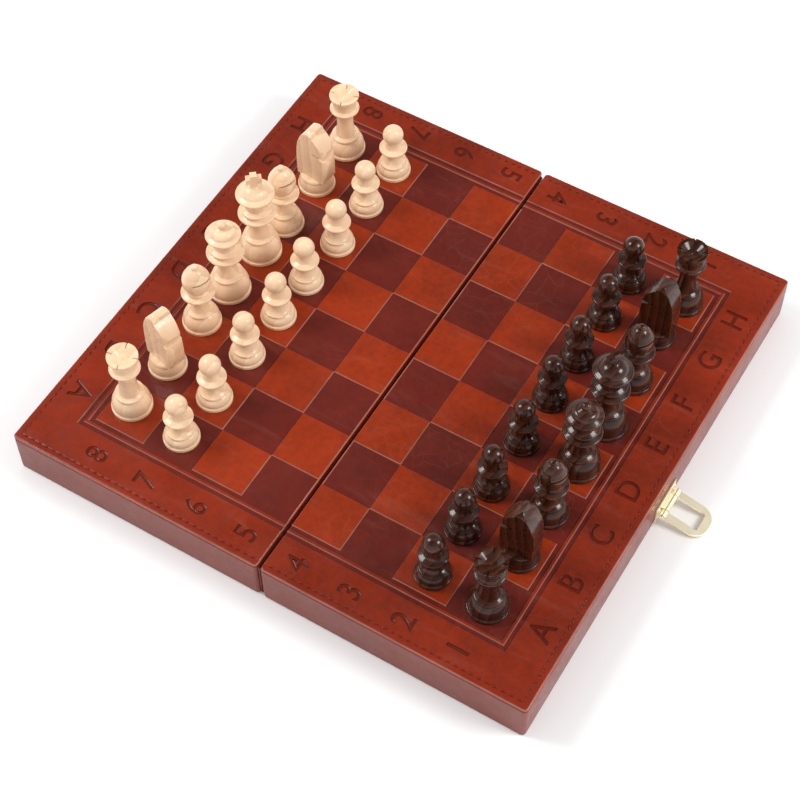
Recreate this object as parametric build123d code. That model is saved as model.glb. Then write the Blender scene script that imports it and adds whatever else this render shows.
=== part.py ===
from build123d import *
import os

# A folding chess set. The case opens flat into the board, and its 32 men stand on it.
# Millimetres. The origin is the middle of the open board on the table, +X runs towards
# rank 1, +Y towards the h file and +Z up. The hinge line is the Y axis.

# Case halves
BOARD_DEPTH = 350.0
HALF_WIDTH = 177.3
CASE_HEIGHT = 33.5
HINGE_GAP = 2.4
CORNER_RADIUS = 2.5
EDGE_RADIUS = 1.0
SIDE_LEATHER = 1.2
TOP_LEATHER = 2.4
PANEL = 4.0
WALL = 6.0
RIM_STRIP = 0.8
TURN_IN = 0.8
TURN_IN_HEIGHT = 8.0
FELT_UNDER_PANEL = 1.0
FELT_ON_WALLS = 0.8

X_IN = HINGE_GAP / 2
X_OUT = X_IN + HALF_WIDTH
Y_OUT = BOARD_DEPTH / 2
PANEL_TOP = CASE_HEIGHT - TOP_LEATHER
WALL_TOP = PANEL_TOP - PANEL

# Embossed board. Columns are counted from the hinge edge of a half, rows from the middle.
COLUMN_LINES = (0.0, 34.0, 69.8, 105.5, 141.0)
ROW_PITCH = 35.65
RECESS_DEPTH = 0.7
RECESS_INSET = 0.2
HINGE_LAND = 1.0
INNER_GROOVE_X = (141.0, 144.0)
INNER_GROOVE_Y = (140.1, 142.9)
OUTER_GROOVE_X = (146.2, 148.9)
OUTER_GROOVE_Y = (145.1, 147.9)
PATTERN_SHIFT = {"left": 1.2, "right": -0.5}

# Leather spine in the hinge gap
SPINE_LEATHER = 0.8
SPINE_HALF_DEPTH = 173.0
SPINE_TOP = 30.0

# Latch on the rank 1 wall and its catch on the rank 8 wall
LATCH_Y = 1.5
PLATE_THICKNESS = 1.2
LATCH_PLATE_WIDTH = 26.0
LATCH_PLATE_Z = (2.0, 16.0)
PIVOT_OFFSET = 3.8
PIVOT_HEIGHT = 8.1
KNUCKLE_RADIUS = 2.4
KNUCKLE_HALF_WIDTH = 6.2
WEB_HALF_HEIGHT = 1.7
PIN_RADIUS = 1.0
PIN_HALF_LENGTH = 11.2
PIN_HEAD_RADIUS = 1.6
PIN_HEAD_THICKNESS = 0.6
LOOP_THICKNESS = 2.4
LOOP_LENGTH = 27.7
LOOP_WIDTH = 22.0
LOOP_CORNER_RADIUS = 9.0
WINDOW_WIDTH = 13.0
WINDOW_LENGTH = 22.0
WINDOW_CORNER_RADIUS = 0.6
EAR_RADIUS = 2.2
EAR_BORE_RADIUS = 1.05
LOOP_DROOP = 14.0
CATCH_PLATE_WIDTH = 14.0
CATCH_PLATE_Z = (6.0, 16.0)
HOOK_WIDTH = 8.0
HOOK_REACH = 6.7
HOOK_Z = (11.0, 13.4)
LIP_TOP = 14.9
LIP_THICKNESS = 1.3
NAIL_SHANK_RADIUS = 0.7
NAIL_HEAD_RADIUS = 1.3
NAIL_HEAD_HEIGHT = 0.7
NAIL_DOME_BULGE = 0.15
NAIL_TIP_RADIUS = 0.2
NAIL_LENGTH = 5.0
LATCH_NAIL_SPREAD = 10.4
LATCH_NAIL_Z = 12.9
CATCH_NAIL_SPREAD = 4.6
CATCH_NAIL_Z = 8.2

# Men. A profile is a list of (radius, height, bulge) steps going up from the foot.
FOOT_RADIUS = {"pawn": 11.5, "rook": 12.9, "knight": 12.4, "bishop": 12.6, "queen": 13.9, "king": 14.0}
ROOK_CUT_WIDTH = 0.8
ROOK_CUT_DEPTH = 1.3
ROOK_CUT_TURN = 17.0
ROOK_TOP = 52.3
BISHOP_CUT_WIDTH = 1.0
BISHOP_CUT_DEPTH = 4.8
BISHOP_CUT_Z = 45.0
BISHOP_CUT_TILT = 24.0
KING_CROSS_FOOT = 65.4
KING_CROSS_TOP = 75.0
KING_CROSS_ARM_Z = 70.4
KING_CROSS_SPAN = 10.0
KING_CROSS_BAR = 4.2
KING_CROSS_THICKNESS = 4.2
HEAD_HALF_THICKNESS = 6.4
MOUTH_HOLE = (4.2, 36.8)
MOUTH_HOLE_RADIUS = 0.9

# The ring that every man stands on, with the radius counted from FOOT_RADIUS
FOOT_STEPS = [(-0.5, 0, 0), (0, 0.5, 0.15), (0, 2.0, 0), (-0.6, 2.6, 0.18), (-0.9, 3.1, 0)]

PROFILE_STEPS = {
    "pawn": [
        (8.4, 8.9, 1.0), (8.0, 10.6, 0.8), (6.9, 11.4, 0), (5.7, 20.3, -1.1), (8.3, 21.8, -0.3),
        (8.3, 24.0, 1.0), (5.9, 25.0, 0), (5.0, 30.8, -0.4), (6.8, 35.2, 0.5), (4.8, 40.0, 0.5),
        (0.4, 42.0, 0.45), (0, 42.0, 0),
    ],
    "rook": [
        (8.7, 13.2, 1.3), (8.3, 15.4, 0.8), (6.9, 16.4, 0), (6.6, 37.0, -1.3), (8.8, 38.6, -0.3),
        (8.8, 41.0, 0.9), (7.9, 42.2, 0), (9.4, 50.4, -0.5), (9.6, 52.3, 0.2), (7.4, 52.3, 0),
        (3.6, 49.4, 0), (0.9, 49.0, 0), (0, 48.2, 0),
    ],
    "knight": [(10.4, 10.0, 0.5), (9.7, 12.2, 0.3), (0, 13.2, 0)],
    "bishop": [
        (8.2, 12.4, 1.3), (7.8, 14.4, 0.8), (6.4, 15.3, 0), (5.6, 28.2, -1.3), (9.6, 29.8, -0.4),
        (9.6, 32.2, 1.1), (7.0, 33.2, 0), (7.6, 34.6, 0.6), (7.0, 35.4, 0), (9.0, 42.0, 0.6),
        (6.9, 49.0, 0.65), (2.9, 53.8, 0.5), (2.4, 54.5, 0), (0.4, 56.8, 0.8), (0, 56.8, 0),
    ],
    "queen": [
        (9.3, 15.4, 1.6), (8.9, 17.5, 0.9), (7.3, 18.5, 0), (6.2, 34.8, -1.4), (11.0, 36.6, -0.5),
        (11.0, 39.0, 1.1), (8.2, 40.2, 0), (9.3, 41.6, 0), (9.3, 43.6, 0.9), (7.2, 44.8, 0),
        (10.3, 53.8, -0.7), (10.3, 56.0, 1.0), (8.4, 57.0, 0), (5.0, 60.8, 0.9), (2.4, 62.0, 0),
        (0.4, 66.4, 1.5), (0, 66.4, 0),
    ],
    "king": [
        (9.4, 16.4, 1.6), (9.0, 18.5, 0.9), (7.3, 19.5, 0), (6.2, 35.8, -1.4), (11.1, 37.6, -0.5),
        (11.1, 40.0, 1.1), (8.4, 41.2, 0), (9.5, 42.6, 0), (9.5, 44.6, 0.9), (7.5, 45.8, 0),
        (11.3, 55.8, -0.8), (11.3, 58.2, 1.1), (9.2, 59.4, 0), (3.4, 64.6, 1.0), (2.4, 65.4, 0),
        (2.4, 66.2, 0), (0, 66.2, 0),
    ],
}

# The turned blank that the knight's head is sawn from
HEAD_BLANK_STEPS = [
    (12.8, 0, 0), (12.8, 24.0, 0), (12.0, 36.0, 0.3), (9.2, 47.0, 0.5), (0.4, 55.4, 2.2), (0, 55.4, 0),
]

# Side view of the knight's head as (forward, up) runs: two points are a line, more a curve.
HEAD_RUNS = [
    [(-10.4, 11.5), (-10.6, 20.0), (-10.4, 30.0), (-9.6, 39.0), (-7.2, 47.0), (-3.4, 52.8), (-0.6, 54.8)],
    [(-0.6, 54.8), (2.2, 53.6)],
    [(2.2, 53.6), (2.9, 50.6)],
    [(2.9, 50.6), (6.0, 47.6), (9.0, 43.6), (11.4, 39.6)],
    [(11.4, 39.6), (11.2, 37.6)],
    [(11.2, 37.6), (4.6, 36.9)],
    [(4.6, 36.9), (10.8, 34.0)],
    [(10.8, 34.0), (12.3, 31.0), (12.5, 26.0), (12.2, 19.0), (10.4, 11.5)],
    [(10.4, 11.5), (-10.4, 11.5)],
]

FILES = "abcdefgh"
BACK_ROW = ("rook", "knight", "bishop", "queen", "king", "bishop", "knight", "rook")

# Where the feet stand, from file a to file h. The men are set by hand, not on centre.
LIGHT_BACK = [
    (-128.6, -118.9), (-127.2, -82.8), (-127.7, -44.0), (-127.4, -13.1),
    (-127.0, 22.5), (-125.8, 50.0), (-125.8, 88.8), (-126.0, 126.2),
]
LIGHT_PAWNS = [
    (-89.3, -122.7), (-88.0, -88.8), (-88.7, -51.3), (-88.0, -16.3),
    (-88.0, 16.3), (-86.7, 52.3), (-88.0, 90.0), (-88.0, 125.0),
]
DARK_PAWNS = [
    (89.7, -126.3), (89.7, -91.3), (89.7, -57.5), (89.7, -20.0),
    (89.7, 16.3), (89.7, 51.3), (89.7, 87.5), (89.7, 122.5),
]
DARK_BACK = [
    (127.2, -127.5), (127.2, -90.0), (127.2, -55.0), (127.2, -17.5),
    (127.2, 17.5), (127.2, 55.0), (124.0, 93.0), (127.2, 125.0),
]

# Which way the men that have a front are turned, in degrees about +Z from +X
TURN = {
    "light_knight_b8": -16.0, "light_knight_g8": -6.0,
    "dark_knight_b1": 180.0, "dark_knight_g1": 180.0,
    "light_bishop_c8": -22.0, "light_bishop_f8": -22.0,
    "dark_bishop_c1": -22.0, "dark_bishop_f1": -22.0,
    "light_king_e8": -50.0, "dark_king_e1": -25.0,
}


def block(x0, x1, y0, y1, z0, z1):
    box = Box(abs(x1 - x0), abs(y1 - y0), abs(z1 - z0))
    return Pos((x0 + x1) / 2, (y0 + y1) / 2, (z0 + z1) / 2) * box


def rounded_block(x0, x1, y_half, z0, z1, radius):
    outline = RectangleRounded(abs(x1 - x0), 2 * y_half, radius)
    return extrude(Pos((x0 + x1) / 2, 0, z0) * outline, amount=z1 - z0)


def shell_block(side, inset, z0, z1):
    """A block that stands inset from the outside of a case half all round."""
    x0 = side * (X_IN + inset)
    x1 = side * (X_OUT - inset)
    y_half = Y_OUT - inset
    return block(x0, x1, -y_half, y_half, z0, z1)


def side_leather(side):
    """The leather round the walls, folded over their lower edges and up inside."""
    inside_walls = SIDE_LEATHER + WALL
    skin = rounded_block(side * X_IN, side * X_OUT, Y_OUT, 0, PANEL_TOP, CORNER_RADIUS)
    skin -= shell_block(side, SIDE_LEATHER, RIM_STRIP, PANEL_TOP)
    skin -= shell_block(side, inside_walls, 0, RIM_STRIP)
    fold = shell_block(side, inside_walls, 0, TURN_IN_HEIGHT)
    fold -= shell_block(side, inside_walls + TURN_IN, 0, TURN_IN_HEIGHT)
    return skin + fold


def walls(side):
    """The four wooden walls of a half by name."""
    near = X_IN + SIDE_LEATHER
    far = X_OUT - SIDE_LEATHER
    y_wall = Y_OUT - SIDE_LEATHER
    y_room = y_wall - WALL
    x_room = (side * (near + WALL), side * (far - WALL))
    height = (RIM_STRIP, WALL_TOP)
    return {
        "hinge_wall": block(side * near, x_room[0], -y_wall, y_wall, *height),
        "end_wall": block(x_room[1], side * far, -y_wall, y_wall, *height),
        "front_wall": block(*x_room, -y_wall, -y_room, *height),
        "back_wall": block(*x_room, y_room, y_wall, *height),
    }


def lining(side):
    """Felt under the panel and down the walls to the folded leather."""
    inside_walls = SIDE_LEATHER + WALL
    felt = shell_block(side, inside_walls, TURN_IN_HEIGHT, WALL_TOP)
    room_top = WALL_TOP - FELT_UNDER_PANEL
    return felt - shell_block(side, inside_walls + FELT_ON_WALLS, TURN_IN_HEIGHT, room_top)


def ranks(half):
    """Rank numbers of a half from the hinge outwards."""
    return (5, 6, 7, 8) if half == "left" else (4, 3, 2, 1)


def dark_squares(half):
    """The sunk squares of a half as (x0, x1, y0, y1), x measured out from the middle."""
    squares = []
    shift = PATTERN_SHIFT[half]
    for column, rank in enumerate(ranks(half)):
        x0 = X_IN + max(COLUMN_LINES[column] + RECESS_INSET, HINGE_LAND)
        x1 = X_IN + COLUMN_LINES[column + 1] - RECESS_INSET
        if column == 3:
            x1 = X_IN + INNER_GROOVE_X[1]
        for row in range(8):
            if (row + 1 + rank) % 2:
                continue
            y0 = (row - 4) * ROW_PITCH + RECESS_INSET
            y1 = (row - 3) * ROW_PITCH - RECESS_INSET
            if row == 0:
                y0 = -INNER_GROOVE_Y[1]
            if row == 7:
                y1 = INNER_GROOVE_Y[1]
            squares.append((x0, x1, y0 + shift, y1 + shift))
    return squares


def groove(half, x_span, y_span, z0, z1):
    """A groove on three sides of the board pattern, open at the hinge."""
    side = -1 if half == "left" else 1
    shift = PATTERN_SHIFT[half]
    outer = block(0, side * (X_IN + x_span[1]), shift - y_span[1], shift + y_span[1], z0, z1)
    inner = block(0, side * (X_IN + x_span[0]), shift - y_span[0], shift + y_span[0], z0, z1)
    return outer - inner


def top_leather(half):
    """The thick leather on top with its squares and border lines pressed in."""
    side = -1 if half == "left" else 1
    sheet = rounded_block(side * X_IN, side * X_OUT, Y_OUT, PANEL_TOP, CASE_HEIGHT, CORNER_RADIUS)
    sheet = fillet(sheet.faces().sort_by(Axis.Z)[-1].edges(), EDGE_RADIUS)
    z0 = CASE_HEIGHT - RECESS_DEPTH
    z1 = CASE_HEIGHT + RECESS_DEPTH
    sheet -= groove(half, OUTER_GROOVE_X, OUTER_GROOVE_Y, z0, z1)
    sheet -= groove(half, INNER_GROOVE_X, INNER_GROOVE_Y, z0, z1)
    for x0, x1, y0, y1 in dark_squares(half):
        sheet -= block(side * x0, side * x1, y0, y1, z0, z1)
    return sheet


def case_half(half):
    """All the nodes of one half."""
    side = -1 if half == "left" else 1
    nodes = dict(walls(side))
    nodes["side_leather"] = side_leather(side)
    nodes["panel"] = shell_block(side, SIDE_LEATHER, WALL_TOP, PANEL_TOP)
    nodes["top_leather"] = top_leather(half)
    nodes["lining"] = lining(side)
    return {f"{half}_{name}": solid for name, solid in nodes.items()}


def leather_spine():
    """The strip of leather that joins the halves, folded down into the hinge gap."""
    outer = X_IN
    inner = X_IN - SPINE_LEATHER
    y_span = (-SPINE_HALF_DEPTH, SPINE_HALF_DEPTH)
    length = 2 * SPINE_HALF_DEPTH
    bend = Cylinder(outer, length, rotation=(90, 0, 0)) - Cylinder(inner, length, rotation=(90, 0, 0))
    bend -= block(-outer, outer, *y_span, 0, outer)
    spine = Pos(0, 0, outer) * bend
    for side in (-1, 1):
        spine += block(side * inner, side * outer, *y_span, outer, SPINE_TOP)
    return spine


def rod(radius, y0, y1):
    return Pos(0, (y0 + y1) / 2, 0) * Cylinder(radius, y1 - y0, rotation=(90, 0, 0))


def latch_pivot():
    return Pos(X_OUT + PIVOT_OFFSET, LATCH_Y, PIVOT_HEIGHT)


def latch_plate():
    """The brass plate with the middle knuckle of the latch."""
    half_width = LATCH_PLATE_WIDTH / 2
    x1 = X_OUT + PLATE_THICKNESS
    plate = block(X_OUT, x1, LATCH_Y - half_width, LATCH_Y + half_width, *LATCH_PLATE_Z)
    knuckle = rod(KNUCKLE_RADIUS, -KNUCKLE_HALF_WIDTH, KNUCKLE_HALF_WIDTH)
    web_start = PLATE_THICKNESS / 2 - PIVOT_OFFSET
    knuckle += block(web_start, 0, -KNUCKLE_HALF_WIDTH, KNUCKLE_HALF_WIDTH, -WEB_HALF_HEIGHT, WEB_HALF_HEIGHT)
    knuckle -= rod(PIN_RADIUS, -KNUCKLE_HALF_WIDTH, KNUCKLE_HALF_WIDTH)
    return plate + latch_pivot() * knuckle


def latch_pin():
    """The pin through the knuckle with a flat head at each end."""
    pin = rod(PIN_RADIUS, -PIN_HALF_LENGTH, PIN_HALF_LENGTH)
    for side in (-1, 1):
        head = rod(PIN_HEAD_RADIUS, 0, PIN_HEAD_THICKNESS)
        pin += Pos(0, side * PIN_HALF_LENGTH, 0) * Rot(90 - side * 90, 0, 0) * head
    return latch_pivot() * pin


def latch_loop():
    """The swinging loop, a flat plate with a window and an ear on each side of the knuckle."""
    half_width = LOOP_WIDTH / 2
    half_window = WINDOW_WIDTH / 2
    half_thickness = LOOP_THICKNESS / 2
    plate = block(0, LOOP_LENGTH, -half_width, half_width, -half_thickness, half_thickness)
    plate = fillet(plate.edges().filter_by(Axis.Z).group_by(Axis.X)[-1], LOOP_CORNER_RADIUS)
    ears = rod(EAR_RADIUS, -half_width, half_width)
    window = block(-EAR_RADIUS * 2, WINDOW_LENGTH, -half_window, half_window, -EAR_RADIUS * 2, EAR_RADIUS * 2)
    window = fillet(window.edges().filter_by(Axis.Z).group_by(Axis.X)[-1], WINDOW_CORNER_RADIUS)
    loop = plate + ears - window - rod(EAR_BORE_RADIUS, -half_width, half_width)
    return latch_pivot() * Rot(0, LOOP_DROOP, 0) * loop


def catch_plate():
    """The brass plate on the other half with the hook that holds the loop."""
    wall = -X_OUT
    half_plate = CATCH_PLATE_WIDTH / 2
    half_hook = HOOK_WIDTH / 2
    plate = block(wall - PLATE_THICKNESS, wall, LATCH_Y - half_plate, LATCH_Y + half_plate, *CATCH_PLATE_Z)
    y_span = (LATCH_Y - half_hook, LATCH_Y + half_hook)
    tip = wall - HOOK_REACH
    plate += block(tip, wall - PLATE_THICKNESS / 2, *y_span, *HOOK_Z)
    return plate + block(tip, tip + LIP_THICKNESS, *y_span, HOOK_Z[0], LIP_TOP)


def stretch(start, end, bulge):
    """An edge between two (radius, height) points. A bulge above 0 swells it outwards."""
    a = Vector(start[0], 0, start[1])
    b = Vector(end[0], 0, end[1])
    if bulge == 0:
        return Line(a, b)
    along = b - a
    outward = Vector(along.Z, 0, -along.X).normalized()
    return ThreePointArc(a, (a + b) / 2 + outward * bulge, b)


def foot(radius):
    return [(radius + change, height, bulge) for change, height, bulge in FOOT_STEPS]


def revolved(steps):
    """A solid of revolution about +Z from (radius, height, bulge) steps that end on the axis."""
    edges = []
    start = (0.0, 0.0)
    for radius, height, bulge in steps:
        edges.append(stretch(start, (radius, height), bulge))
        start = (radius, height)
    edges.append(Line((0, 0, start[1]), (0, 0, 0)))
    return revolve(make_face(edges), axis=Axis.Z)


def turned(kind):
    """The round body of a man."""
    return revolved(foot(FOOT_RADIUS[kind]) + PROFILE_STEPS[kind])


def nail(side):
    """A domed nail lying along X with its head outside the plate."""
    reach = NAIL_LENGTH + SIDE_LEATHER + PLATE_THICKNESS
    steps = [
        (NAIL_SHANK_RADIUS, 0, 0),
        (NAIL_SHANK_RADIUS, reach, 0),
        (NAIL_HEAD_RADIUS, reach, 0),
        (NAIL_TIP_RADIUS, reach + NAIL_HEAD_HEIGHT, NAIL_DOME_BULGE),
        (0, reach + NAIL_HEAD_HEIGHT, 0),
    ]
    start = X_OUT - SIDE_LEATHER - NAIL_LENGTH
    return Pos(side * start, 0, 0) * Rot(0, side * 90, 0) * revolved(steps)


def nails(side, spread, height):
    """Two nails beside each other, as one node of two solids."""
    pair = [Pos(0, LATCH_Y + way * spread, height) * nail(side) for way in (-1, 1)]
    return Compound(pair)


def rook():
    """A tower with two thin saw cuts crossed over its rim."""
    tower = turned("rook")
    reach = FOOT_RADIUS["rook"]
    half_cut = ROOK_CUT_WIDTH / 2
    cut = block(-reach, reach, -half_cut, half_cut, ROOK_TOP - ROOK_CUT_DEPTH, ROOK_TOP + 1)
    for turn in (ROOK_CUT_TURN, ROOK_CUT_TURN + 90):
        tower -= Rot(0, 0, turn) * cut
    return tower


def bishop():
    """A mitre with a slanted saw cut on the +X side."""
    mitre = turned("bishop")
    half_cut = BISHOP_CUT_WIDTH / 2
    reach = FOOT_RADIUS["bishop"]
    cut = block(0, reach, -reach, reach, -half_cut, half_cut)
    place = Pos(BISHOP_CUT_DEPTH, 0, BISHOP_CUT_Z) * Rot(0, -BISHOP_CUT_TILT, 0)
    return mitre - place * cut


def king():
    """The tallest man with a stubby cross on its dome."""
    half_bar = KING_CROSS_BAR / 2
    half_span = KING_CROSS_SPAN / 2
    half_thickness = KING_CROSS_THICKNESS / 2
    cross = block(-half_thickness, half_thickness, -half_bar, half_bar, KING_CROSS_FOOT, KING_CROSS_TOP)
    arm = (KING_CROSS_ARM_Z - half_bar, KING_CROSS_ARM_Z + half_bar)
    cross += block(-half_thickness, half_thickness, -half_span, half_span, *arm)
    return turned("king") + cross


def run_edge(points):
    """One run of the knight's outline in the XZ plane."""
    corners = [Vector(forward, 0, up) for forward, up in points]
    return Line(*corners) if len(corners) == 2 else Spline(*corners)


def knight():
    """A turned foot with a horse's head sawn flat on both sides, facing +X."""
    head = extrude(make_face([run_edge(run) for run in HEAD_RUNS]), amount=HEAD_HALF_THICKNESS, both=True)
    head = head & revolved(HEAD_BLANK_STEPS)
    reach = FOOT_RADIUS["knight"]
    head -= Pos(MOUTH_HOLE[0], 0, MOUTH_HOLE[1]) * rod(MOUTH_HOLE_RADIUS, -reach, reach)
    return turned("knight") + head


def standing_height(x, y, radius):
    """The height of the leather under a foot: sunk if the foot fits in a dark square."""
    half = "left" if x < 0 else "right"
    for x0, x1, y0, y1 in dark_squares(half):
        if x0 <= abs(x) - radius and abs(x) + radius <= x1 and y0 <= y - radius and y + radius <= y1:
            return CASE_HEIGHT - RECESS_DEPTH
    return CASE_HEIGHT


def men():
    """All 32 men on their squares."""
    makers = {"rook": rook, "bishop": bishop, "king": king, "knight": knight}
    shapes = {kind: makers[kind]() if kind in makers else turned(kind) for kind in FOOT_RADIUS}
    rows = (
        ("light", 8, LIGHT_BACK, BACK_ROW),
        ("light", 7, LIGHT_PAWNS, ("pawn",) * 8),
        ("dark", 2, DARK_PAWNS, ("pawn",) * 8),
        ("dark", 1, DARK_BACK, BACK_ROW),
    )
    nodes = {}
    for colour, rank, places, kinds in rows:
        for letter, (x, y), kind in zip(FILES, places, kinds):
            name = f"{colour}_{kind}_{letter}{rank}"
            z = standing_height(x, y, FOOT_RADIUS[kind])
            nodes[name] = Pos(x, y, z) * Rot(0, 0, TURN.get(name, 0)) * shapes[kind]
    return nodes


def main():
    nodes = {**case_half("left"), **case_half("right")}
    nodes["leather_spine"] = leather_spine()
    nodes["latch_plate"] = latch_plate()
    nodes["latch_pin"] = latch_pin()
    nodes["latch_loop"] = latch_loop()
    nodes["latch_nails"] = nails(1, LATCH_NAIL_SPREAD, LATCH_NAIL_Z)
    nodes["catch_plate"] = catch_plate()
    nodes["catch_nails"] = nails(-1, CATCH_NAIL_SPREAD, CATCH_NAIL_Z)
    nodes.update(men())
    os.makedirs("parts", exist_ok=True)
    for name, shape in nodes.items():
        export_step(shape, f"parts/{name}.step")
    print(len(nodes), "nodes")


main()
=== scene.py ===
import math

import bmesh
import bpy
import numpy as np
from bpy.props import FloatProperty, FloatVectorProperty, IntProperty, PointerProperty
from mathutils import Euler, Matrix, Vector


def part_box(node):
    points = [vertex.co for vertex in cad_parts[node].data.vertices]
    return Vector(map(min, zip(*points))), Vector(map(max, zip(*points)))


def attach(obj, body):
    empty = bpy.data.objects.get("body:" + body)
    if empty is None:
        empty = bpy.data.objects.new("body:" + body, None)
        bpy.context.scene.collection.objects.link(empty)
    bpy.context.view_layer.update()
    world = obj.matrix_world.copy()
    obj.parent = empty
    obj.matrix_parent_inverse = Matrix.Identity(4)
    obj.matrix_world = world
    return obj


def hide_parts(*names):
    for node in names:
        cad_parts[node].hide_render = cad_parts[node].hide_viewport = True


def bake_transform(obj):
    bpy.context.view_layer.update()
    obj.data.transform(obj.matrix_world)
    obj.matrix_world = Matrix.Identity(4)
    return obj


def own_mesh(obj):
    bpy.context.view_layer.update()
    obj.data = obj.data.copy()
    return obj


bl_info = {
    "name": "Folding chess set",
    "version": (1, 0, 0),
    "blender": (4, 5, 0),
    "location": "View3D > Sidebar > Chess set",
    "description": "Dresses a leather folding chess case and its turned wooden men",
    "category": "Object",
}

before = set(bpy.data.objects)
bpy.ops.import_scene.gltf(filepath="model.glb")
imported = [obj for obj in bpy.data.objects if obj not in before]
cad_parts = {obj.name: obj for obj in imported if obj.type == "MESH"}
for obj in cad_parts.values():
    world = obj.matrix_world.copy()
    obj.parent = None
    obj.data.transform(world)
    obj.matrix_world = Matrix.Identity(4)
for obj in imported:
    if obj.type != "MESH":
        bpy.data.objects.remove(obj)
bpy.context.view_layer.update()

MM = 0.001
HALVES = ("left", "right")
SIDE_OF = {"left": -1, "right": 1}
PATTERN_SHIFT = {"left": 1.2, "right": -0.5}
RANKS = {"left": (5, 6, 7, 8), "right": (4, 3, 2, 1)}
# Pressed lines of a half in millimetres, measured out from its hinge edge and from the middle
COLUMN_LINES = (0.0, 34.0, 69.8, 105.5, 141.0)
ROW_PITCH = 35.65
INNER_GROOVE = ((141.0, 144.0), (140.1, 142.9))
OUTER_GROOVE = ((146.2, 148.9), (145.1, 147.9))
NUMBER_PLACES = (17.2, 53.1, 89.1, 125.1)
NUMBER_LINE = 160.5
LETTER_LINE = 160.2
LETTER_PITCH = 36.4
LETTER_MIDDLE = 0.6
BORDER, DARK_SQUARE, LIGHT_SQUARE, LABEL = 0, 1, 2, 3

CAMERA_PLACE = (0.351523, -0.592081, 1.010053)
CAMERA_TURN = (33.87351, 0.26524, 30.9017)
LAMP_PLACES = {"left_lamp": (-0.98, -0.35, 1.22), "right_lamp": (1.18, 0.26, 1.04)}
LAMP_SIZE = 0.55
LAMP_COLOUR = (1, 0.99, 0.97)
ROOM_COLOUR = (0.97, 0.98, 1.0, 1)
ROOM_STRENGTH = 0.66
SPINE_LEATHER = 0.8
SPINE_SLACK = 0.98
SPINE_ROWS = 60


# Sizes and colours

class BoardSizes(bpy.types.PropertyGroup):
    """Sizes of the leather case"""

    press_depth: FloatProperty(
        name="Press depth", description="How far the dark squares are pressed in",
        default=0.7 * MM, unit="LENGTH", precision=5)
    press_roll: FloatProperty(
        name="Press roll", description="Half width of the rolled edge round a pressed square",
        default=0.28 * MM, unit="LENGTH", precision=5)
    label_depth: FloatProperty(
        name="Label depth", description="How far the coordinates are pressed in",
        default=0.75 * MM, unit="LENGTH", precision=5)
    label_height: FloatProperty(
        name="Label height", description="Height of a coordinate",
        default=14.5 * MM, unit="LENGTH", precision=5)
    edge_roll: FloatProperty(
        name="Edge roll", description="Radius of the leather's outer top edge",
        default=1.3 * MM, unit="LENGTH", precision=5)
    corner: FloatProperty(
        name="Corner", description="Radius of the case's upright corners",
        default=2.5 * MM, unit="LENGTH", precision=5)
    corner_points: IntProperty(
        name="Corner points", description="Points round each upright corner",
        default=6, min=2, max=24)
    stitch_inset: FloatProperty(
        name="Stitch inset", description="Distance of the seam from the edge",
        default=4.4 * MM, unit="LENGTH", precision=5)
    stitch_pitch: FloatProperty(
        name="Stitch pitch", description="Distance from one stitch to the next",
        default=5.2 * MM, unit="LENGTH", precision=5)
    stitch_length: FloatProperty(
        name="Stitch length", description="Length of a stitch between its holes",
        default=4.2 * MM, unit="LENGTH", precision=5)
    thread: FloatProperty(
        name="Thread radius", description="Radius of the sewing thread",
        default=0.42 * MM, unit="LENGTH", precision=5)


class MenSizes(bpy.types.PropertyGroup):
    """Sizes of the wooden men"""

    knight_edge: FloatProperty(
        name="Knight edge", description="Rounding of the knights' sawn edges",
        default=0.7 * MM, unit="LENGTH", precision=5)


class LatchSizes(bpy.types.PropertyGroup):
    """Sizes of the brass latch"""

    brass_edge: FloatProperty(
        name="Brass edge", description="Rounding of the pressed brass edges",
        default=0.25 * MM, unit="LENGTH", precision=5)


class SetColours(bpy.types.PropertyGroup):
    """Colours of the whole set"""

    border: FloatVectorProperty(
        name="Border", description="Leather of the border and the case sides",
        default=(0.27, 0.023, 0.004), subtype="COLOR", size=3, min=0, max=1)
    light_square: FloatVectorProperty(
        name="Light square", description="Leather of the light squares",
        default=(0.33, 0.030, 0.003), subtype="COLOR", size=3, min=0, max=1)
    dark_square: FloatVectorProperty(
        name="Dark square", description="Leather of the dark squares and grooves",
        default=(0.150, 0.016, 0.009), subtype="COLOR", size=3, min=0, max=1)
    light_wood: FloatVectorProperty(
        name="Light wood", description="Wood of the light men",
        default=(0.90, 0.64, 0.42), subtype="COLOR", size=3, min=0, max=1)
    dark_wood: FloatVectorProperty(
        name="Dark wood", description="Ground colour of the dark men",
        default=(0.024, 0.007, 0.004), subtype="COLOR", size=3, min=0, max=1)
    dark_figure: FloatVectorProperty(
        name="Dark figure", description="Orange figure in the dark men",
        default=(0.14, 0.036, 0.009), subtype="COLOR", size=3, min=0, max=1)
    brass: FloatVectorProperty(
        name="Brass", description="Plated brass of the latch",
        default=(1.0, 0.90, 0.66), subtype="COLOR", size=3, min=0, max=1)
    tray_wood: FloatVectorProperty(
        name="Tray wood", description="Bare wood of the walls and panels",
        default=(0.42, 0.27, 0.14), subtype="COLOR", size=3, min=0, max=1)
    felt: FloatVectorProperty(
        name="Felt", description="Felt lining of the trays",
        default=(0.035, 0.085, 0.045), subtype="COLOR", size=3, min=0, max=1)


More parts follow.
